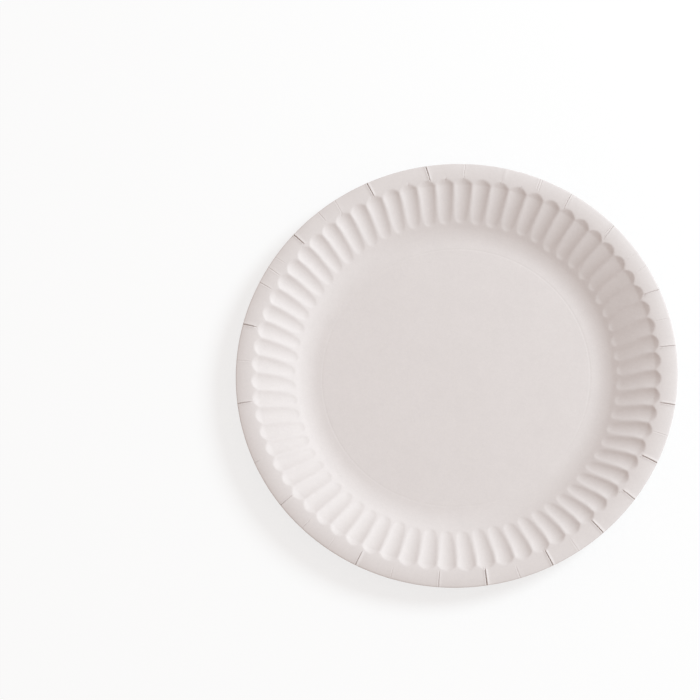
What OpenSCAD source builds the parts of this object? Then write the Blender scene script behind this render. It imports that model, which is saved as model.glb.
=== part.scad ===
/* [Plate] */
// Outside diameter, over the brim
plate_d = 230; // [200:1:260]
// Height of the crest of the brim above the surface that the plate stands on
plate_h = 13; // [10:0.1:16]
// Diameter of the flat base
base_d = 142; // [130:1:150]
// Thickness of the pressed paperboard
paper_t = 0.5; // [0.3:0.05:0.8]
// Length that the curve at the foot of the wall takes from the base and from the wall
bend_reach = 7.3; // [6:0.1:9]

/* [Brim] */
// Width of the plain brim, outside the ends of the flutes
brim_w = 8.3; // [6:0.1:12]
// How far inside the ends of the flutes the line of the wall meets the level of the brim
shoulder_in = 2.8; // [1:0.1:4]
// Length that the curve at the top of the wall takes from the wall and from the brim
shoulder_reach = 7.3; // [4:0.1:9]
// How far the brim turns down at its outer edge
brim_drop = 0.35; // [0.1:0.05:1]

/* [Flutes] */
// Number of flutes pressed into the wall
flute_n = 68; // [64:1:70]
// Radius of the round trough of each flute
flute_r = 10.8; // [10:0.1:14]
// Width of the plain ring between the base and the flutes
plain_w = 12; // [9:0.1:13]
// Length of the short steep inner end of a flute
run_w = 1.8; // [1.5:0.1:4]
// Depth of a flute at the outer side of that steep end
run_h = 0.35; // [0.2:0.05:0.5]
// Length of the steep outer end of a flute
cap_w = 3.2; // [2.5:0.1:4]
// Depth over which neighbouring flutes are rounded into each other
ridge_round = 0.9; // [0.6:0.1:1.2]

/* [Pleats] */
// Height of the two lips of a pleat, at the edge of the brim
pleat_h = 0.25; // [0.1:0.05:0.5]
// Angle over which a lip sinks back into the brim, in degrees
pleat_span = 0.8; // [0.6:0.1:2.5]
// Depth of the crease between the lips, at the edge of the brim
crease_h = 0.2; // [0.05:0.05:0.25]
// Width of the crease, from lip to lip
crease_w = 0.5; // [0.3:0.1:1]

/* [Hidden] */

// Places of the pleats round the brim, in degrees, and the share of the full depth of each
PLEATS = [
    [3, 0.6], [24.1, 0.5], [38.5, 0.5], [78.9, 1], [95.5, 1], [120, 1], [136.2, 0.5],
    [148.3, 1], [170.3, 0.7], [200.2, 0.5], [225.4, 0.6], [247.2, 0.6], [259.6, 1],
    [276.9, 1], [292, 1], [303.9, 0.8], [315.1, 1], [331, 0.8], [347, 0.6]];
// Least angle between a pleat and the next even point of the brim, in degrees
pleat_clear = 0.9;

// Facets across a flute, on the upper face and on the lower face
upper_facets = 8;
lower_facets = 4;
// Facets for each flute where the plate is plain, and on the ring next to the flutes
plain_facets = 2;
start_facets = 4;
// Rings of the plain part on the upper and on the lower face, and the ring next to the
// flutes, as shares of its width
upper_steps = [0, 0.33, 0.66];
lower_steps = [0, 0.5];
start_step = 0.95;
// Angle within which two points count as being on one line from the centre
same_angle = 0.001;
// Least distance between two rings of a flute
ring_gap = 0.2;

// Section of the sheet: the base, the curve at the foot of the wall, the straight wall, the
// curve at its top, and the brim that turns down
rim_r = plate_d / 2;
base_r = base_d / 2;
cap_r = rim_r - brim_w;
corner_r = base_r + bend_reach;
shoulder_r = cap_r - shoulder_in;
wall_a = atan((plate_h - paper_t) / (shoulder_r - corner_r));
bend_r = bend_reach / tan(wall_a / 2);
shoulder_curve_r = shoulder_reach / tan(wall_a / 2);
crest_r = shoulder_r + shoulder_reach;
brim_span = rim_r - crest_r;
brim_curve_r = (brim_span * brim_span + brim_drop * brim_drop) / (2 * brim_drop);

// Heights of one face of the paper. The depth e under the upper face is 0 for the upper
// face and paper_t for the lower one.
function below(r, x) = sqrt(max(r * r - x * x, 0));

function sheet_z(r, e) =
    r < base_r ? paper_t - e :
    r > crest_r ? plate_h - brim_curve_r + below(brim_curve_r - e, r - crest_r) :
    r > crest_r - (shoulder_curve_r - e) * sin(wall_a) ?
        plate_h - shoulder_curve_r + below(shoulder_curve_r - e, r - crest_r) :
    r < base_r + (bend_r + e) * sin(wall_a) ?
        paper_t + bend_r - below(bend_r + e, r - base_r) :
    paper_t + (r - corner_r) * tan(wall_a) - e / cos(wall_a);

// A flute is the print of a round rod that is bent three times. Its lowest line starts on
// the sheet, drops by a short step, sinks to the depth at which the rod is as wide as the
// pitch, and climbs back to the sheet at the brim.
half_pitch = 180 / flute_n;
start_r = base_r + plain_w;
foot_r = cap_r - cap_w;
run_r = min(start_r + run_w, (start_r + foot_r) / 2);
middle_r = (run_r + foot_r) / 2;
function rod_depth(r) = (flute_r - below(flute_r, r * sin(half_pitch))) / cos(wall_a);
function trough_at(r) = [r * cos(half_pitch), sheet_z(r, 0) - rod_depth(r)];
trough = [
    [start_r, sheet_z(start_r, 0)],
    [run_r, sheet_z(run_r, 0) - run_h],
    trough_at(middle_r),
    trough_at(foot_r),
    [cap_r, sheet_z(cap_r, 0)]];

// Underside of one straight part of a rod that lies along the wall at y = 0, and of the
// whole rod
function part_z(i, x, drop) =
    let (p = trough[i], q = trough[i + 1], a = atan2(q[1] - p[1], q[0] - p[0]))
    p[1] + (x - p[0]) * tan(a) + drop / cos(a);

function rod_z(x, y, e) =
    let (drop = flute_r - below(flute_r + e, y))
    max(
        part_z(0, x, drop),
        min(part_z(1, x, drop), part_z(2, x, drop)),
        part_z(3, x, drop));

// The lower of two heights, rounded where they are closer than k
function blend(p, q, k) =
    let (h = min(max(0.5 + (q - p) / (2 * k), 0), 1))
    q + h * (p - q) - k * h * (1 - h);

function print_z(r, a, e) =
    let (b = abs(a) - 2 * half_pitch)
    blend(rod_z(r * cos(a), r * sin(a), e), rod_z(r * cos(b), r * sin(b), e), ridge_round);

function face_z(r, a, e) = min(sheet_z(r, e), print_z(r, a, e));

// Radius between lo and hi at which a flute meets the sheet, at the angle a from its middle
function edge_r(lo, hi, a, e, outer, n = 24) =
    let (mid = (lo + hi) / 2)
    n == 0 ? mid :
    (print_z(mid, a, e) < sheet_z(mid, e)) == outer ?
        edge_r(mid, hi, a, e, outer, n - 1) :
        edge_r(lo, mid, a, e, outer, n - 1);

// Radii at which one line along a flute is sampled, from its inner end to the brim
function flute_radii(a, e) =
    let (
        inner = edge_r(start_r, middle_r, a, e, false),
        outer = edge_r(middle_r, rim_r, a, e, true),
        run = max(run_r, inner + ring_gap),
        foot = min(foot_r, outer - ring_gap))
    [inner, run, (run + foot) / 2, foot, outer];
flute_rings = 5;

// Turns that lie between 0 and 360
function turned(a) = a - 360 * floor(a / 360);

// Profile across a pleat, as heights at angles from its middle: the crease and one lip
crease_a = crease_w / 2 / rim_r * 180 / PI;
pleat_profile = [[0, -crease_h], [crease_a, pleat_h], [pleat_span, 0]];
pleat_shares = [for (p = PLEATS) p[1]];

// Height that the pleats add to the upper face, which fades from the edge of the brim inwards
function pleat_z(r, a) =
    (r - cap_r) / brim_w
    * (pleat_shares * [for (p = PLEATS) lookup(abs(turned(a - p[0] + 180) - 180), pleat_profile)]);

// Rings of points: each is a list of [angle, radius, height]
function plain_ring(r, facets, e) =
    [for (i = [0:facets * flute_n - 1]) [360 * i / (facets * flute_n), r, sheet_z(r, e)]];

// The second half of a flute, from its ridge to the middle of the next, mirrors the first
function flute_ring(k, facets, e) =
    let (
        turns = [for (j = [0:facets - 1]) 2 * half_pitch * j / facets],
        aside = [for (a = turns) min(a, 2 * half_pitch - a)],
        radii = [for (a = aside) flute_radii(a, e)[k]])
    [for (i = [0:flute_n - 1], j = [0:facets - 1])
        [2 * half_pitch * i + turns[j], radii[j], face_z(radii[j], aside[j], e)]];

function brim_angles() =
    let (even = [for (i = [0:plain_facets * flute_n - 1]) 360 * i / (plain_facets * flute_n)])
    sorted(concat(
        [for (a = even) if (min([for (p = PLEATS) abs(a - p[0])]) > pleat_span + pleat_clear) a],
        [for (p = PLEATS, d = [-pleat_span, -crease_a, 0, crease_a, pleat_span]) p[0] + d]));

function sorted(v) =
    len(v) < 2 ? v :
    let (m = v[floor(len(v) / 2)])
    concat(
        sorted([for (x = v) if (x < m) x]),
        [for (x = v) if (x == m) x],
        sorted([for (x = v) if (x > m) x]));

function brim_ring(r) =
    [for (a = brim_angles()) [a, r, sheet_z(r, 0) + pleat_z(r, a)]];

start_ring_r = base_r + start_step * plain_w;
brim_radii = [(cap_r + rim_r) / 2, rim_r];
upper_rings = concat(
    [for (f = upper_steps) plain_ring(base_r + f * plain_w, plain_facets, 0)],
    [plain_ring(start_ring_r, start_facets, 0)],
    [for (k = [0:flute_rings - 1]) flute_ring(k, upper_facets, 0)],
    [for (r = brim_radii) brim_ring(r)]);
lower_rings = concat(
    [for (f = lower_steps) plain_ring(base_r + f * plain_w, plain_facets, paper_t)],
    [plain_ring(start_ring_r, start_facets, paper_t)],
    [for (k = [0:flute_rings - 1]) flute_ring(k, lower_facets, paper_t)],
    [for (r = brim_radii) plain_ring(r, plain_facets, paper_t)]);

// All rings in the order of one walk over the section: out along the upper face, and
// back in along the lower face
rings = concat(upper_rings, [for (i = [len(lower_rings) - 1:-1:0]) lower_rings[i]]);
sizes = [for (ring = rings) len(ring)];
starts = [for (i = 0, s = 0; i < len(sizes); s = s + sizes[i], i = i + 1) s];

// Triangles between two rings, which takes the next point of the ring that lags behind
function strip(p, q) =
    let (
        a = rings[p], b = rings[q], na = len(a), nb = len(b),
        at_a = starts[p], at_b = starts[q])
    [for (
        i = 0, j = 0, take = a_first(a, b, 0, 0);
        i + j < na + nb;
        i = take ? i + 1 : i, j = take ? j : j + 1, take = a_first(a, b, i, j))
        take ?
            [at_a + i % na, at_a + (i + 1) % na, at_b + j % nb] :
            [at_a + i % na, at_b + (j + 1) % nb, at_b + j % nb]];

function wound(ring, i) = ring[i % len(ring)][0] + 360 * floor(i / len(ring));
function a_first(a, b, i, j) =
    i >= len(a) ? false :
    j >= len(b) ? true :
    wound(a, i + 1) <= wound(b, j + 1) + same_angle;

module plate() {
    last = len(rings) - 1;
    color("#e9e2e0")
        polyhedron(
            points = [for (ring = rings, p = ring) [p[1] * cos(p[0]), p[1] * sin(p[0]), p[2]]],
            faces = concat(
                [[for (i = [sizes[0] - 1:-1:0]) starts[0] + i]],
                [for (k = [0:last - 1]) each strip(k, k + 1)],
                [[for (i = [0:1:sizes[last] - 1]) starts[last] + i]]));
}

plate();
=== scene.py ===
"""A white paper plate, pressed from one disc of paperboard, lying open side up."""

import math
from collections import namedtuple

import bpy
import numpy as np
from mathutils import Matrix, Vector


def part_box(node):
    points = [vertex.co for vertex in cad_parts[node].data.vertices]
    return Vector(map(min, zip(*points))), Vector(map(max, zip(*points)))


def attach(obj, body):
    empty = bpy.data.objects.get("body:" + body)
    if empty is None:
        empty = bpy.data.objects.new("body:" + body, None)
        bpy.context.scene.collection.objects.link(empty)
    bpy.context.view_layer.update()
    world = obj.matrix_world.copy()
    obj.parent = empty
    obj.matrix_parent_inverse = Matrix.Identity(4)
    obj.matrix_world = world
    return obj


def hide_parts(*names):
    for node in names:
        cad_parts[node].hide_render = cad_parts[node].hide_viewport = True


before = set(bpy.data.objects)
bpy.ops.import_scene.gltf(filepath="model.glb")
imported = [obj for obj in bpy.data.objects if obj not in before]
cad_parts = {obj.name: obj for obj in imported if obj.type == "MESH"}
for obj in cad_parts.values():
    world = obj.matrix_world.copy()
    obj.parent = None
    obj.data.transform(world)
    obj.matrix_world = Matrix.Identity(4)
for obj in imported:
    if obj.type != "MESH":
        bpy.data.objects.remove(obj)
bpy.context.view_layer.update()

# Lengths of the plate are in millimetres, and MM turns them into metres
MM = 0.001
plate_low, plate_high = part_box("plate")
RIM_R = (plate_high[0] - plate_low[0]) / 2 / MM
PLATE_H = 13.0
PAPER_T = 0.5

# Section of the plate, by radius. The base, the straight wall and the brim would meet in two
# corners: one lies CORNER_OUT past the base's edge, the other SHOULDER_IN before the brim. An
# arc rounds each of them, and reaches as far to both sides of it. The brim turns down in an arc.
BASE_R = 71.0
CORNER_OUT = 7.3
BEND_REACH = 5.6
BRIM_W = 8.3
BRIM_DROP = 0.35
SHOULDER_IN = 2.8
SHOULDER_REACH = 7.3
CAP_R = RIM_R - BRIM_W
SHOULDER_R = CAP_R - SHOULDER_IN
CORNER_R = BASE_R + CORNER_OUT
BEND_START_R = CORNER_R - BEND_REACH
WALL_A = math.atan((PLATE_H - PAPER_T) / (SHOULDER_R - CORNER_R))
BEND_R = BEND_REACH / math.tan(WALL_A / 2)
SHOULDER_CURVE_R = SHOULDER_REACH / math.tan(WALL_A / 2)
CREST_R = SHOULDER_R + SHOULDER_REACH
BRIM_SPAN = RIM_R - CREST_R
BRIM_CURVE_R = (BRIM_SPAN**2 + BRIM_DROP**2) / (2 * BRIM_DROP)

# Flutes. Each is the print of a bent rod of radius FLUTE_R. It starts at START_R, outside a plain
# band of PLAIN_W, sinks into the sheet by RAMP_H, follows the wall in two straight parts, and
# comes up again in a steep cap. FOOT_LIFT makes it a little less deep at the foot of the cap.
FLUTE_N = 68
FLUTE_R = 10.8
PLAIN_W = 12.0
RAMP_W = 1.8
RAMP_H = 0.38
CAP_W = 2.7
FOOT_LIFT = 0.12
PITCH = math.tau / FLUTE_N
START_R = BASE_R + PLAIN_W
RAMP_R = START_R + RAMP_W
FOOT_R = CAP_R - CAP_W
MIDDLE_R = (RAMP_R + FOOT_R) / 2

# Heights over which the pressed edges are rounded: the places where a flute changes its slope,
# the ridges between the flutes at two radii, and the edges of the flutes in the sheet, where the
# rounding starts from none over EASE_W to both sides of START_R
RAMP_ROUND = 0.15
SLOPE_ROUND = 0.25
FOOT_ROUND = 0.12
RIDGE_ROUND_R = (97.0, 103.0)
RIDGE_ROUND = (0.9, 0.4)
EASE_W = 1.0
NO_ROUND = 1e-6
START_ROUND = 0.12
CAP_ROUND = 0.15
FLUTE_ROUND_R = (START_R - EASE_W, START_R + EASE_W, MIDDLE_R, FOOT_R)
FLUTE_ROUND = (NO_ROUND, START_ROUND, START_ROUND, CAP_ROUND)


def arc(r, x):
    """Height of a circle of radius r over its middle, at the distance x to one side."""
    return np.sqrt(np.maximum(r * r - x * x, 0))


def blend(p, q, k):
    """The lower of two heights, rounded where they are closer than k."""
    h = np.clip(0.5 + (q - p) / (2 * k), 0, 1)
    return q + h * (p - q) - k * h * (1 - h)


def blend_up(p, q, k):
    """The higher of two heights, rounded in the same way."""
    return -blend(-p, -q, k)


def sheet_z(r, e):
    """Height of the sheet without its flutes, for the face that lies e under the upper one."""
    r = np.asarray(r, dtype=float)
    wall = PAPER_T + (r - CORNER_R) * math.tan(WALL_A) - e / math.cos(WALL_A)
    bend = PAPER_T + BEND_R - arc(BEND_R + e, np.maximum(r - BEND_START_R, 0))
    shoulder = PLATE_H - SHOULDER_CURVE_R + arc(SHOULDER_CURVE_R - e, r - CREST_R)
    brim = PLATE_H - BRIM_CURVE_R + arc(BRIM_CURVE_R - e, r - CREST_R)
    z = np.where(r < BEND_START_R + (BEND_R + e) * math.sin(WALL_A), bend, wall)
    z = np.where(r > CREST_R - (SHOULDER_CURVE_R - e) * math.sin(WALL_A), shoulder, z)
    return np.where(r > CREST_R, brim, z)


def trough_at(r, lift=0.0):
    """Lowest point of a flute that is as wide as the pitch at the radius r."""
    depth = (FLUTE_R - arc(FLUTE_R, r * math.sin(PITCH / 2))) / math.cos(WALL_A)
    return r * math.cos(PITCH / 2), float(sheet_z(r, 0) - depth) + lift


# Lowest line of a flute, from its inner end to the brim
TROUGH = [
    (START_R, float(sheet_z(START_R, 0))),
    (RAMP_R, float(sheet_z(RAMP_R, 0)) - RAMP_H),
    trough_at(MIDDLE_R),
    trough_at(FOOT_R, FOOT_LIFT),
    (CAP_R, float(sheet_z(CAP_R, 0))),
]

# Unevenness of the pressed paper, drawn once from a fixed seed. The inner end of each flute is
# shifted along the sheet, outwards where the shift is negative, and sinks or rises a little.
SEED = 7
SHIFT_MEAN = -0.9
SHIFT_SPREAD = 0.35
SHIFT_LIMITS = (-1.6, 0.1)
SINK_SPREAD = 0.03
SINK_LIMITS = (-0.06, 0.06)
chance = np.random.default_rng(SEED)
FLUTE_SHIFT = chance.normal(SHIFT_MEAN, SHIFT_SPREAD, FLUTE_N).clip(*SHIFT_LIMITS)
FLUTE_SINK = chance.normal(0, SINK_SPREAD, FLUTE_N).clip(*SINK_LIMITS)

# Waves across the base, each with a length and a way of its own and all equally steep
WAVE_COUNT = 14
WAVE_SHORTEST = 14
WAVE_LONGEST = 55
WAVE_SLOPE = 0.0022
WAVE_LENGTHS = chance.uniform(WAVE_SHORTEST, WAVE_LONGEST, WAVE_COUNT)
WAVE_WAYS = chance.uniform(0, math.tau, WAVE_COUNT)
WAVE_STARTS = chance.uniform(0, math.tau, WAVE_COUNT)

# Waves that go round the brim, from 17 to 59 crests, and their height
BRIM_WAVES = np.arange(17, 60, 3)
BRIM_WAVE_STARTS = chance.uniform(0, math.tau, len(BRIM_WAVES))
BRIM_WAVE_H = 0.012

# The faint ring that the press leaves where the base ends
MARK_R = 70.6
MARK_H = 0.04
MARK_W = 0.4


def uneven_base(r, a):
    x, y = r * np.cos(a), r * np.sin(a)
    z = np.zeros_like(x)
    for length, way, start in zip(WAVE_LENGTHS, WAVE_WAYS, WAVE_STARTS):
        k = math.tau / length
        z += WAVE_SLOPE / k * np.sin(k * (x * math.cos(way) + y * math.sin(way)) + start)
    return np.interp(r, [BASE_R, START_R], [1, 0]) * z


def uneven_brim(r, a):
    waves = [np.sin(n * a + start) for n, start in zip(BRIM_WAVES, BRIM_WAVE_STARTS)]
    return np.interp(r, [CAP_R, RIM_R], [0, 1]) * (BRIM_WAVE_H * np.sum(waves, axis=0))


def mark_z(r):
    return -MARK_H * math.exp(-(((r - MARK_R) / MARK_W) ** 2))


# The flutes are turned from their even places by waves that go round the plate. Each has the
# number of its crests, its height in degrees and the place of one crest in degrees.
TURN_MEAN = -0.08
TURN_WAVES = ((1, 0.35, 180), (2, 0.65, 101), (3, 0.2, 34), (4, 0.33, 0))

# The flutes also lean: towards their inner ends they are turned further, most of all at the
# angle LEAN_AT. The lean is in degrees, and LEAN_SHARE of it is there at the radii LEAN_R.
LEAN_MEAN = -0.16
LEAN = 1.15
LEAN_AT = 129
LEAN_R = (83.5, 92.0, 98.5)
LEAN_SHARE = (1.35, 0.5, 0.0)


def flute_turn(r, a):
    """Angle by which the flutes are turned at the radius r and the angle a."""
    turn = TURN_MEAN + sum(height * np.cos(crests * (a - math.radians(place)))
                           for crests, height, place in TURN_WAVES)
    lean = LEAN_MEAN + LEAN * np.cos(a - math.radians(LEAN_AT))
    return np.radians(turn + lean * np.interp(r, LEAN_R, LEAN_SHARE))


def rod_z(x, y, e):
    """Underside of the bent rod whose print is the flute that lies at y = 0."""
    drop = FLUTE_R - arc(FLUTE_R + e, y)
    parts = []
    for (x0, z0), (x1, z1) in zip(TROUGH, TROUGH[1:]):
        slope = (z1 - z0) / (x1 - x0)
        parts.append(z0 + (x - x0) * slope + drop * math.hypot(1, slope))
    ramp, lower, upper, cap = parts
    middle = blend(lower, upper, SLOPE_ROUND)
    return blend_up(blend_up(ramp, middle, RAMP_ROUND), cap, FOOT_ROUND)


def print_z(r, number, off, e):
    """Print of one flute, at the angle off from its middle."""
    number = number.astype(int) % FLUTE_N
    share = np.interp(r, [RAMP_R, FOOT_R], [1, 0])
    shift = FLUTE_SHIFT[number] * share
    lift = sheet_z(r, e) - sheet_z(r + shift, e) - FLUTE_SINK[number] * share
    return rod_z(r * np.cos(off) + shift, r * np.sin(off), e) + lift


def face_z(r, a, e):
    """Height of the face that lies e under the upper one, at the radius r and the angle a."""
    turned = a - flute_turn(r, a)
    number = np.floor((turned + PITCH / 2) / PITCH)
    own = turned - number * PITCH
    side = np.where(own < 0, -1, 1)
    nearest = print_z(r, number, own, e)
    next_one = print_z(r, number + side, own - side * PITCH, e)
    flutes = blend(nearest, next_one, np.interp(r, RIDGE_ROUND_R, RIDGE_ROUND))
    sheet = sheet_z(r, e)
    both = blend(sheet, flutes, np.interp(r, FLUTE_ROUND_R, FLUTE_ROUND))
    return np.where(r < FLUTE_ROUND_R[0], sheet, both)


# Pleats in the brim. Each has its place in degrees at the edge and at the flutes, the depth
# and width of its crease, the heights of the lips before and after it, and its inner radius.
# The one with a negative depth is folded upwards.
Pleat = namedtuple("Pleat", "outer inner depth width lip_before lip_after inner_r")
PLEATS = [Pleat(*sizes) for sizes in (
    (2.85, 3.1, 0.32, 0.6, 0.2, 0.22, 106.0),
    (10.4, 9.8, 0.09, 0.5, 0.06, 0.05, 107.0),
    (14.5, 14.5, 0.08, 0.5, 0.04, 0.04, 107.0),
    (24.3, 23.5, 0.28, 0.5, 0.12, 0.05, 106.5),
    (24.6, 24.4, 0.14, 0.4, 0.03, 0.1, 108.0),
    (38.6, 38.2, 0.26, 0.5, 0.12, 0.08, 106.0),
    (38.0, 37.7, 0.1, 0.4, 0.1, 0.03, 108.0),
    (47.3, 46.8, 0.08, 0.5, 0.05, 0.05, 107.0),
    (47.9, 47.6, 0.06, 0.5, 0.05, 0.05, 108.0),
    (57.3, 57.5, -0.12, 0.5, 0.12, 0.12, 108.5),
    (68.5, 68.8, 0.08, 0.5, 0.05, 0.05, 107.0),
    (79.2, 78.5, 0.48, 0.68, 0.2, 0.2, 106.0),
    (95.65, 95.4, 0.45, 0.64, 0.28, 0.2, 106.0),
    (105.5, 105.9, 0.08, 0.5, 0.05, 0.05, 106.0),
    (111.0, 111.0, 0.09, 0.5, 0.05, 0.03, 108.0),
    (120.0, 120.1, 0.5, 0.68, 0.2, 0.2, 106.5),
    (127.9, 127.9, 0.05, 0.5, 0.03, 0.03, 108.0),
    (131.3, 131.8, 0.1, 0.5, 0.06, 0.05, 107.0),
    (136.0, 136.5, 0.16, 0.5, 0.08, 0.05, 107.0),
    (148.3, 148.35, 0.48, 0.65, 0.2, 0.2, 107.5),
    (158.4, 158.6, 0.07, 0.5, 0.04, 0.04, 107.0),
    (170.3, 170.3, 0.42, 0.6, 0.16, 0.2, 107.0),
    (187.0, 186.9, 0.2, 0.5, 0.03, 0.03, 111.5),
    (200.25, 200.05, 0.34, 0.55, 0.14, 0.12, 106.5),
    (208.5, 208.5, 0.14, 0.5, 0.06, 0.06, 108.0),
    (217.0, 217.0, 0.07, 0.5, 0.04, 0.04, 108.0),
    (225.35, 225.35, 0.34, 0.5, 0.08, 0.34, 106.5),
    (234.9, 234.8, 0.08, 0.5, 0.04, 0.04, 109.0),
    (247.3, 247.2, 0.19, 0.5, 0.1, 0.14, 106.5),
    (259.55, 259.65, 0.5, 0.72, 0.14, 0.32, 106.0),
    (268.1, 267.8, 0.09, 0.5, 0.05, 0.05, 108.0),
    (276.9, 276.8, 0.38, 0.56, 0.2, 0.34, 106.0),
    (284.3, 284.3, 0.02, 0.5, 0.05, 0.08, 107.0),
    (292.1, 292.0, 0.4, 0.6, 0.2, 0.32, 106.0),
    (303.85, 304.0, 0.34, 0.58, 0.16, 0.24, 107.0),
    (315.0, 315.15, 0.48, 0.68, 0.16, 0.3, 106.0),
    (322.6, 322.6, 0.06, 0.5, 0.05, 0.05, 107.0),
    (331.05, 331.05, 0.38, 0.6, 0.2, 0.26, 107.0),
    (347.05, 347.05, 0.3, 0.6, 0.2, 0.2, 106.5),
    (354.6, 354.7, 0.08, 0.5, 0.04, 0.04, 107.0),
)]

# Nicks where pleats run out between the flutes: degrees at the outer and inner end, then the
# radii of these two ends
Nick = namedtuple("Nick", "outer inner outer_r inner_r")
NICKS = [Nick(*sizes) for sizes in (
    (3.1, 2.5, 107.2, 105.2),
    (23.8, 23.1, 106.6, 105.4),
    (38.2, 38.0, 106.8, 105.6),
    (52.0, 52.5, 107.0, 106.2),
    (57.7, 58.2, 107.6, 106.0),
    (68.6, 69.1, 107.4, 106.2),
    (73.8, 74.2, 107.0, 106.2),
    (78.5, 79.9, 106.8, 105.8),
    (84.7, 85.1, 107.0, 106.4),
    (95.4, 96.4, 107.2, 106.2),
    (105.8, 106.5, 107.0, 105.6),
    (120.2, 121.2, 107.4, 106.6),
    (148.3, 148.9, 107.8, 106.8),
    (259.6, 259.1, 107.0, 105.6),
    (276.8, 276.1, 107.2, 106.2),
    (303.9, 302.9, 108.0, 106.8),
    (315.1, 314.4, 107.0, 105.8),
)]
NICK_DEPTH = 0.16
NICK_WIDTH = 0.5

# Pleats start outside PLEAT_IN_R, and each grows to its full depth over PLEAT_RISE. They are
# PLEAT_TAPER as deep and wide at the radii PLEAT_TAPER_R. The lips fall off over LIP_SPAN, and
# a CREASE_POWER of 1 would make the creases plain grooves with straight sides. The lower face
# follows the upper one by PLEAT_FOLLOW.
PLEAT_IN_R = 105.0
PLEAT_RISE = 1.2
PLEAT_TAPER_R = (107.0, 113.0)
PLEAT_TAPER = (0.72, 1.0)
LIP_SPAN = 1.2
CREASE_POWER = 1.2
PLEAT_FOLLOW = 0.75


def wrapped(a):
    """The same angle, within half a turn from 0."""
    return (a + math.pi) % math.tau - math.pi


def pleat_angle(pleat, r):
    share = (r - CAP_R) / BRIM_W
    return np.radians(pleat.inner + (pleat.outer - pleat.inner) * share)


def nick_angle(nick, r):
    return np.radians(np.interp(r, [nick.inner_r, nick.outer_r], [nick.inner, nick.outer]))


def crease_z(gap, depth, width, lip_before, lip_after):
    """Height at the distance gap from the middle of a crease, whose lips fall off smoothly."""
    half = width / 2
    lip = np.where(gap < 0, lip_before, lip_after)
    past = np.clip((np.abs(gap) - half) / LIP_SPAN, 0, 1)
    outside = lip * (1 - past) ** 2 * (1 + 2 * past)
    inside = -depth + (lip + depth) * np.clip(np.abs(gap) / half, 0, 1) ** CREASE_POWER
    return np.where(np.abs(gap) < half, inside, outside)


def pleat_z(r, a):
    """How far the upper face is moved up or down by the pleats and the nicks."""
    z = np.zeros_like(a)
    if r <= PLEAT_IN_R:
        return z
    taper = np.interp(r, PLEAT_TAPER_R, PLEAT_TAPER)
    for pleat in PLEATS:
        gap = wrapped(a - pleat_angle(pleat, r)) * r
        fade = np.clip((r - pleat.inner_r) / PLEAT_RISE, 0, 1)
        z += fade * crease_z(gap, pleat.depth * taper, pleat.width * taper,
                             pleat.lip_before, pleat.lip_after)
    for nick in NICKS:
        gap = wrapped(a - nick_angle(nick, r)) * r
        past = max(r - nick.outer_r, nick.inner_r - r, 0)
        z += np.clip(1 - past / NICK_WIDTH, 0, 1) * crease_z(gap, NICK_DEPTH, NICK_WIDTH, 0, 0)
    return z


def upper_z(r, a):
    base = face_z(np.full_like(a, r), a, 0) + mark_z(r) + uneven_base(r, a)
    return base + uneven_brim(r, a) + pleat_z(r, a)


def lower_z(r, a):
    base = face_z(np.full_like(a, r), a, PAPER_T)
    return base + uneven_brim(r, a) + PLEAT_FOLLOW * pleat_z(r, a)


# Rings of points go from the centre out over the upper face and back under the lower face.
# From each radius on they are as far apart as the number beside it says, which is least where
# the section turns sharply, and LOWER_SCALE times as far on the lower face.
FIRST_RING_R = 6.0
FLUTE_RINGS_R = START_R - 2
CAP_RINGS_R = 101.0
RING_STEPS = (
    (FIRST_RING_R, 7.0),
    (BASE_R - 3, 0.34),
    (BASE_R + 1, 1.4),
    (FLUTE_RINGS_R, 0.45),
    (START_R + 4, 1.1),
    (CAP_RINGS_R, 0.33),
    (PLEAT_IN_R, 0.36),
    (PLEAT_IN_R + 4, 0.75),
)
LOWER_SCALE = 1.6

# Points of a ring for each flute: in the base, in the bend, in the flutes of the two faces, and
# in the brim outside BRIM_RINGS_R. The cut edge of the paper is rounded by EDGE_ROUND.
BASE_RINGS_R = BASE_R - 4
BASE_POINTS = 2
BEND_POINTS = 4
UPPER_POINTS = 14
LOWER_POINTS = 8
BRIM_RINGS_R = CAP_R + 1
BRIM_POINTS = 7
EDGE_ROUND = 0.06

# More points lie across each crease, lip and nick, at these shares of its width. Those of the
# nicks end at NICK_OUT_R. A point that is closer to the next one than CREASE_GAP is left out,
# and so is an even point that is closer to one of them than EVEN_GAP.
CREASE_SHARES = (-1, -0.6, -0.3, 0, 0.3, 0.6, 1)
LIP_SHARES = (0.25, 0.55, 1)
NICK_SHARES = (-1, -0.5, 0, 0.5, 1)
NICK_OUT_R = 109.5
CREASE_GAP = 0.04
EVEN_GAP = 0.2

# Angles that differ by less than this are taken as equal
SAME_ANGLE = 1e-9


def even_angles(count):
    return np.arange(count) * 2 * math.pi / count


def flute_angles(count, r):
    """Even angles that are turned with the flutes, so that rows of points follow the ridges."""
    even = even_angles(count)
    return np.sort((even + flute_turn(r, even)) % math.tau)


def crease_angles(r):
    """Angles of the points across the creases, lips and nicks, some of them very close."""
    angles = []
    taper = np.interp(r, PLEAT_TAPER_R, PLEAT_TAPER)
    for pleat in PLEATS:
        middle, half = pleat_angle(pleat, r), pleat.width / 2 * taper
        angles += [middle + share * half / r for share in CREASE_SHARES]
        angles += [middle + way * (half + share * LIP_SPAN) / r
                   for share in LIP_SHARES for way in (-1, 1)]
    if r < NICK_OUT_R:
        angles += [nick_angle(nick, r) + share * NICK_WIDTH / 2 / r
                   for nick in NICKS for share in NICK_SHARES]
    return np.sort(np.array(angles) % math.tau)


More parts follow.
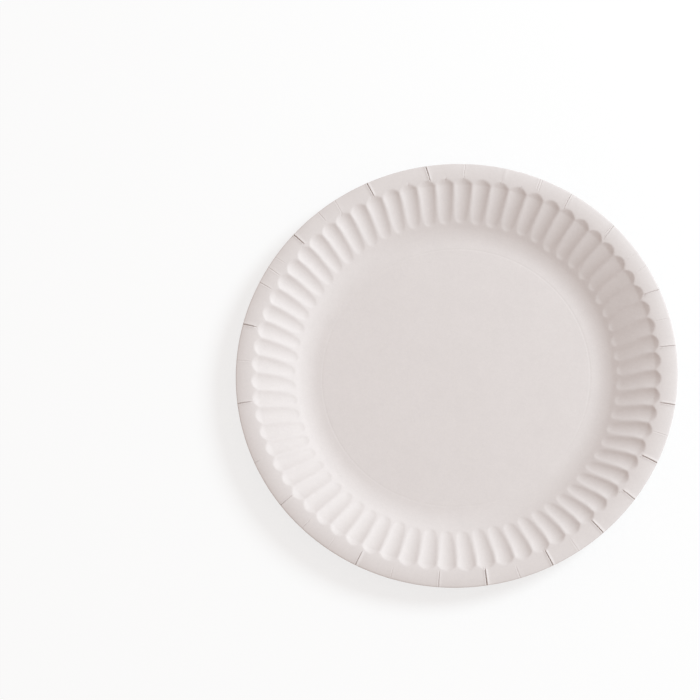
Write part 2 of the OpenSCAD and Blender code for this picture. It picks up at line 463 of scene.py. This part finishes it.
def pleated_angles(count, r):
    """Even angles, with more of them at the creases, lips and nicks."""
    creases = crease_angles(r)
    creases = creases[np.diff(creases, append=creases[0] + math.tau) > CREASE_GAP / r]
    even = flute_angles(count, r)
    gaps = np.abs(wrapped(even[:, None] - creases[None, :]))
    even = even[gaps.min(axis=1) > EVEN_GAP / r]
    return np.sort(np.concatenate([even, creases]))


def ring_angles(r, points):
    if r < BASE_RINGS_R:
        return even_angles(FLUTE_N * BASE_POINTS)
    if r < FLUTE_RINGS_R:
        return even_angles(FLUTE_N * BEND_POINTS)
    if r < PLEAT_IN_R:
        return flute_angles(FLUTE_N * points, r)
    return pleated_angles(FLUTE_N * (points if r < BRIM_RINGS_R else BRIM_POINTS), r)


def ring_radii(scale):
    """Radii of the rings up to the rim, which isn't among them."""
    starts, steps = zip(*RING_STEPS)
    radii = []
    for start, stop, step in zip(starts, [*starts[1:], RIM_R], steps):
        count = int(round((stop - start) / (step * scale)))
        radii.append(np.linspace(start, stop, count, endpoint=False))
    return np.concatenate(radii)


def face_rings(height, points, scale, way):
    """Rings of one face, and at the rim two that round the cut edge of the paper that way."""
    rings = []
    for r in ring_radii(scale):
        a = ring_angles(r, points)
        rings.append((r, a, height(r, a)))
    a = ring_angles(RIM_R, points)
    z = height(RIM_R, a)
    return [*rings, (RIM_R - EDGE_ROUND, a, z), (RIM_R, a, z + way * EDGE_ROUND)]


def strip(a, b, at_a, at_b):
    """Triangles between two rings of angles, which start at the point numbers given."""
    next_a = np.append(a[1:], a[0] + math.tau)
    next_b = np.append(b[1:], b[0] + math.tau)
    i = np.arange(len(a))
    j = np.searchsorted(next_b, next_a - SAME_ANGLE, side="left")
    one = np.stack([at_a + i, at_b + j % len(b), at_a + (i + 1) % len(a)], axis=1)
    j = np.arange(len(b))
    i = np.searchsorted(next_a, next_b + SAME_ANGLE, side="right")
    two = np.stack([at_b + j, at_b + (j + 1) % len(b), at_a + i % len(a)], axis=1)
    return np.concatenate([one, two])


def fan(count, at, hub, up):
    """Triangles between a ring that starts at the point number at and its hub."""
    i = np.arange(count)
    j = (i + 1) % count
    pair = (i, j) if up else (j, i)
    return np.stack([np.full(count, hub), at + pair[0], at + pair[1]], axis=1)


def plate_mesh():
    """The plate as one closed mesh, with its cut edge and its creases marked for the colour, which
    paints shade into the creases and partly onto the cut edge.
    """
    upper = face_rings(upper_z, UPPER_POINTS, 1.0, -1)
    lower = face_rings(lower_z, LOWER_POINTS, LOWER_SCALE, 1)
    rings = upper + lower[::-1]
    edge_rings = (len(upper) - 1, len(upper))
    points, starts, cut, crease_shade = [], [], [], []
    count = 0
    for number, (r, a, z) in enumerate(rings):
        starts.append(count)
        count += len(a)
        points.append(np.stack([r * np.cos(a), r * np.sin(a), z], axis=1))
        cut.append(np.full(len(a), float(number in edge_rings)))
        # How much painted shade each point gets, from how deep its crease is
        crease_shade.append(np.clip(-pleat_z(r, a) / CREASE_SHADE_DEPTH, 0, 1))
    points.append([[0, 0, PAPER_T], [0, 0, 0]])
    points = np.concatenate(points) * MM
    faces = [strip(rings[k][1], rings[k + 1][1], starts[k], starts[k + 1])
             for k in range(len(rings) - 1)]
    faces.append(fan(len(rings[0][1]), starts[0], count, True))
    faces.append(fan(len(rings[-1][1]), starts[-1], count + 1, False))
    faces = np.concatenate(faces)
    mesh = bpy.data.meshes.new("paper_plate")
    mesh.vertices.add(len(points))
    mesh.vertices.foreach_set("co", points.astype(np.float32).ravel())
    mesh.loops.add(3 * len(faces))
    mesh.loops.foreach_set("vertex_index", faces.astype(np.int32).ravel())
    mesh.polygons.add(len(faces))
    mesh.polygons.foreach_set("loop_start", np.arange(0, 3 * len(faces), 3, dtype=np.int32))
    mesh.update(calc_edges=True)
    for name, shares in (("cut", cut), ("crease", crease_shade)):
        values = np.concatenate([*shares, [0, 0]]).astype(np.float32)
        mesh.attributes.new(name, "FLOAT", "POINT").data.foreach_set("value", values)
    mesh.validate()
    mesh.shade_smooth()
    print("plate triangles", len(faces))
    return mesh


def fill(tree, socket, value):
    """Sets a socket to a number or a colour, or links the output of another node to it."""
    if isinstance(value, bpy.types.NodeSocket):
        tree.links.new(value, socket)
    elif isinstance(value, tuple):
        socket.default_value = (*value, 1)
    else:
        socket.default_value = value


def calculated(tree, operation, a, b):
    node = tree.nodes.new("ShaderNodeMath")
    node.operation = operation
    fill(tree, node.inputs[0], a)
    fill(tree, node.inputs[1], b)
    return node.outputs["Value"]


def mixed(tree, share, a, b):
    """Colour a where the share is 0, and colour b where it is 1."""
    node = tree.nodes.new("ShaderNodeMix")
    node.data_type = "RGBA"
    for name, value in (("Factor", share), ("A", a), ("B", b)):
        fill(tree, node.inputs[name], value)
    return node.outputs["Result"]


def noise(tree, place, size, detail, distortion):
    """Noise with lumps of about the size given in millimetres."""
    node = tree.nodes.new("ShaderNodeTexNoise")
    sockets = {"Vector": place, "Scale": 1 / (size * MM), "Detail": detail, "Distortion": distortion}
    for name, value in sockets.items():
        fill(tree, node.inputs[name], value)
    return node.outputs["Fac"]


def attribute(tree, name):
    node = tree.nodes.new("ShaderNodeAttribute")
    node.attribute_name = name
    return node.outputs["Fac"]


# Colours as they render under the studio's light. A crease at the full depth below takes the share
# below of the crease colour, which is painted shade standing in for the shade that falls into the
# crease.
PAPER_COLOR = (0.733, 0.682, 0.668)
# The cut edge is browner: partly the raw board's own tone, partly painted shade
CUT_TONE_AND_SHADE_COLOR = (0.60, 0.52, 0.47)
# Painted shade: the dark colour that stands in for the shade in the creases
CREASE_SHADE_COLOR = (0.46, 0.38, 0.345)
CREASE_SHADE_DEPTH = 0.45
CREASE_SHADE_SHARE = 0.8
PAPER_ROUGHNESS = 0.7

# Size in millimetres and strength of each scale of the paper's mottling, around its mean
MOTTLES = ((9.0, 0.022), (1.6, 0.03), (0.5, 0.03))
MOTTLE_DETAIL = 2.0
MOTTLE_DISTORTION = 0.6
NOISE_MEAN = 0.5

# Size and height in millimetres and detail of the lumps of pulp and of the fibres
BUMPS = ((2.2, 0.03, 2.0), (0.45, 0.02, 1.0))
BUMP_DISTORTION = 1.2


def paper_material():
    """Matt uncoated board: mottled pulp, fibres, a browner cut edge that is partly its own tone and
    partly painted shade, and painted shade in the creases.
    """
    material = bpy.data.materials.new("paperboard")
    material.use_nodes = True
    tree = material.node_tree
    shader = tree.nodes["Principled BSDF"]
    shader.inputs["Roughness"].default_value = PAPER_ROUGHNESS
    place = tree.nodes.new("ShaderNodeTexCoord").outputs["Object"]

    light = 1.0
    for size, strength in MOTTLES:
        mottle = noise(tree, place, size, MOTTLE_DETAIL, MOTTLE_DISTORTION)
        mottle = calculated(tree, "SUBTRACT", mottle, NOISE_MEAN)
        mottle = calculated(tree, "MULTIPLY", mottle, strength * 2)
        light = calculated(tree, "ADD", light, mottle)
    # Painted shade in the creases, as strong as the crease mark says
    crease_shade_share = calculated(tree, "MULTIPLY", attribute(tree, "crease"), CREASE_SHADE_SHARE)
    color = mixed(tree, crease_shade_share, PAPER_COLOR, CREASE_SHADE_COLOR)
    # The cut edge's colour: partly its own tone, partly painted shade
    color = mixed(tree, attribute(tree, "cut"), color, CUT_TONE_AND_SHADE_COLOR)
    lit = tree.nodes.new("ShaderNodeVectorMath")
    lit.operation = "SCALE"
    fill(tree, lit.inputs["Vector"], color)
    fill(tree, lit.inputs["Scale"], light)
    fill(tree, shader.inputs["Base Color"], lit.outputs["Vector"])

    normal = None
    for size, height, detail in BUMPS:
        bump = tree.nodes.new("ShaderNodeBump")
        bump.inputs["Distance"].default_value = height * MM
        fill(tree, bump.inputs["Height"], noise(tree, place, size, detail, BUMP_DISTORTION))
        if normal is not None:
            fill(tree, bump.inputs["Normal"], normal)
        normal = bump.outputs["Normal"]
    fill(tree, shader.inputs["Normal"], normal)
    return material


def make_plate():
    piece = bpy.data.objects.new("paper_plate", plate_mesh())
    bpy.context.collection.objects.link(piece)
    piece.data.materials.append(paper_material())
    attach(piece, "root")
    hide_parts("plate")


# The camera's place, from the centre of the rim. It is tilted from straight above, the picture
# is rolled, and both are turned about the plate's axis, all in degrees. CAMERA_ASIDE is how far
# the centre of the rim lies to the right of the picture's middle and above it. The focal length
# is FOCAL_PIXELS in a picture that is IMAGE_SIZE pixels wide.
CAMERA_DISTANCE = 1046.8
CAMERA_TILT = 17.82
CAMERA_ROLL = 16.71
CAMERA_TURN = -1.8
CAMERA_ASIDE = (54.48, -9.86)
IMAGE_SIZE = 700
FOCAL_PIXELS = 2008.8
SENSOR = 36.0


def make_camera():
    tilt, roll = math.radians(CAMERA_TILT), math.radians(CAMERA_ROLL)
    turn = Matrix.Rotation(math.radians(CAMERA_TURN), 3, "Z")
    turn = turn @ Matrix.Rotation(tilt, 3, "X") @ Matrix.Rotation(-roll, 3, "Z")
    right, up, back = turn.col
    rim = Vector((0, 0, PLATE_H - BRIM_DROP))
    place = rim + CAMERA_DISTANCE * back - CAMERA_ASIDE[0] * right - CAMERA_ASIDE[1] * up
    data = bpy.data.cameras.new("camera")
    data.sensor_width = SENSOR
    data.lens = FOCAL_PIXELS / IMAGE_SIZE * SENSOR
    camera = bpy.data.objects.new("camera", data)
    camera.matrix_world = Matrix.Translation(place * MM) @ turn.to_4x4()
    bpy.context.collection.objects.link(camera)
    bpy.context.scene.camera = camera


# A cool lamp box from the right and a warmer room; both together are neutral on the base. The
# lamp's distance and size are in metres and its angles in degrees. LAMP_COLOR is its tint
# divided by LAMP_COLOR_SCALE, so that no share of it is above 1.
LAMP_AZIMUTH = 7.0
LAMP_HEIGHT = 37.0
LAMP_DISTANCE = 2.25
LAMP_SIZE = 0.9
LAMP_LEVEL = 2.424
LAMP_COLOR = (0.824, 0.943, 1.0)
LAMP_COLOR_SCALE = 1.214
ROOM_COLOR = (1.0, 0.864, 0.797)
ROOM_LEVEL = 0.528
WHITE = (1.0, 1.0, 1.0)


def make_light():
    azimuth, height = math.radians(LAMP_AZIMUTH), math.radians(LAMP_HEIGHT)
    towards = Vector((
        math.cos(height) * math.cos(azimuth),
        math.cos(height) * math.sin(azimuth),
        math.sin(height),
    ))
    data = bpy.data.lights.new("lamp_box", "AREA")
    data.shape = "DISK"
    data.size = LAMP_SIZE
    data.energy = LAMP_LEVEL * LAMP_COLOR_SCALE * math.pi * LAMP_DISTANCE**2
    data.color = LAMP_COLOR
    lamp = bpy.data.objects.new("lamp_box", data)
    lamp.location = towards * LAMP_DISTANCE
    lamp.rotation_euler = towards.to_track_quat("Z", "Y").to_euler()
    bpy.context.collection.objects.link(lamp)


def show_seen(tree, lighting, seen, output):
    """Shows seen to the camera and in glossy or transmitted rays, and lights with lighting."""
    path = tree.nodes.new("ShaderNodeLightPath").outputs
    share = calculated(tree, "MAXIMUM", path["Is Camera Ray"], path["Is Glossy Ray"])
    share = calculated(tree, "MAXIMUM", share, path["Is Transmission Ray"])
    mix = tree.nodes.new("ShaderNodeMixShader")
    for socket, value in zip(mix.inputs, (share, lighting.outputs[0], seen.outputs[0])):
        fill(tree, socket, value)
    fill(tree, tree.nodes[output].inputs["Surface"], mix.outputs[0])


def make_room():
    """Light from all round, which the camera itself sees as white."""
    world = bpy.data.worlds.new("studio")
    world.use_nodes = True
    tree = world.node_tree
    room = tree.nodes["Background"]
    fill(tree, room.inputs["Color"], ROOM_COLOR)
    fill(tree, room.inputs["Strength"], ROOM_LEVEL)
    seen = tree.nodes.new("ShaderNodeBackground")
    fill(tree, seen.inputs["Color"], WHITE)
    show_seen(tree, room, seen, "World Output")
    bpy.context.scene.world = world


# The floor is white paper. Seen by the camera, part of its white is its own, which leaves a
# light shadow of the plate on it. Its size is in metres.
FLOOR_SIZE = 8.0
FLOOR_COLOR = 0.9
FLOOR_SEEN_COLOR = 0.26
FLOOR_SEEN_OWN = 0.73


def set_matt(tree, shader, grey):
    fill(tree, shader.inputs["Base Color"], (grey, grey, grey))
    fill(tree, shader.inputs["Roughness"], 1.0)
    fill(tree, shader.inputs["Specular IOR Level"], 0.0)


def make_floor():
    bpy.ops.mesh.primitive_plane_add(size=FLOOR_SIZE)
    floor = bpy.context.object
    floor.name = "floor"
    material = bpy.data.materials.new("floor")
    material.use_nodes = True
    tree = material.node_tree
    shader = tree.nodes["Principled BSDF"]
    set_matt(tree, shader, FLOOR_COLOR)
    seen = tree.nodes.new("ShaderNodeBsdfPrincipled")
    set_matt(tree, seen, FLOOR_SEEN_COLOR)
    fill(tree, seen.inputs["Emission Color"], WHITE)
    fill(tree, seen.inputs["Emission Strength"], FLOOR_SEEN_OWN)
    show_seen(tree, shader, seen, "Material Output")
    floor.data.materials.append(material)


make_plate()
make_camera()
make_light()
make_room()
make_floor()
bpy.context.scene.view_settings.view_transform = "Standard"
